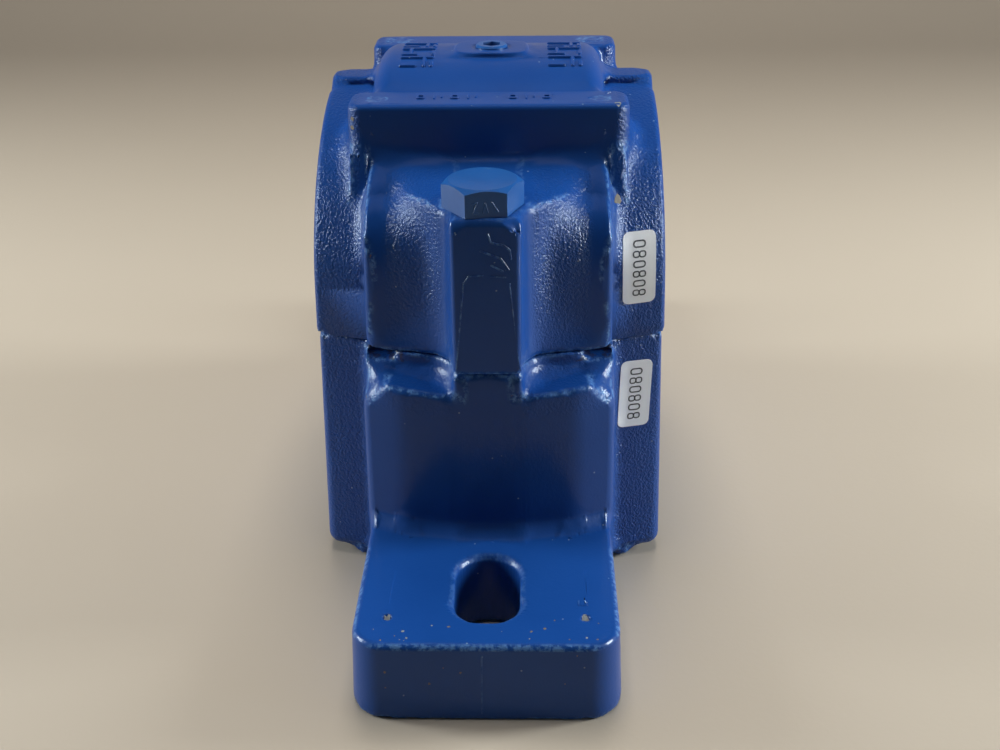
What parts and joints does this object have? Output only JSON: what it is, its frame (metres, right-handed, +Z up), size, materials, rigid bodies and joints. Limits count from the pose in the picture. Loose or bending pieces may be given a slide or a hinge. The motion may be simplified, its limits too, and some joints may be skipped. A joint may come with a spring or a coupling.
{
  "type": "split plummer block",
  "caption": "Two-piece cast pillow block with slotted feet that carries a shaft in a self-aligning roller bearing clamped on an adapter sleeve.",
  "frame": {"origin": "centre of the base's footprint, on the mounting face", "axes": "+X along the base from foot to foot, +Y along the shaft towards the lock nut, +Z up through the cap"},
  "size_m": [0.3302, 0.1306, 0.1843],
  "materials": {
    "housing_enamel": "glossy blue enamel over cast iron",
    "fastener_enamel": "blue enamel over steel",
    "pin_steel": "ground",
    "bearing_steel": "ground and polished",
    "cage_steel": "pressed sheet",
    "guide_iron": "turned",
    "sleeve_steel": "turned, oiled",
    "seal_aluminium": "turned casting",
    "seal_rubber": "smooth"
  },
  "bodies": {
    "housing": {"base": "housing_enamel", "cap": "housing_enamel", "cap_bolts": "fastener_enamel", "dowel_pins": "pin_steel", "top_plug": "fastener_enamel", "stabilizing_ring": "guide_iron", "outer_ring": "bearing_steel"},
    "aligning_ring": {"guide_ring": "guide_iron"},
    "shaft_group": {"inner_ring": "bearing_steel", "adapter_sleeve": "sleeve_steel", "lock_washer": "sleeve_steel", "lock_nut": "sleeve_steel", "labyrinth_ring_left": "seal_aluminium", "labyrinth_ring_right": "seal_aluminium", "o_ring_left": "seal_rubber", "o_ring_right": "seal_rubber"},
    "roller_set": {"rollers_left": "bearing_steel", "rollers_right": "bearing_steel", "cage_left": "cage_steel", "cage_right": "cage_steel"}
  },
  "joints": [
    {"name": "self_align", "type": "hinge", "parent": "housing", "child": "aligning_ring", "pos_m": [0, -0.00635, 0.09525], "axis": [1, 0, 0], "range_deg": [-0.3, 0.3]},
    {"name": "shaft_spin", "type": "hinge", "parent": "aligning_ring", "child": "shaft_group", "pos_m": [0, 0, 0.09525], "axis": [0, 1, 0], "continuous": true},
    {"name": "cage_spin", "type": "hinge", "parent": "aligning_ring", "child": "roller_set", "pos_m": [0, 0, 0.09525], "axis": [0, 1, 0], "continuous": true}
  ],
  "couplings": [
    {"joint": "cage_spin", "follows": "shaft_spin", "ratio": 0.43}
  ]
}
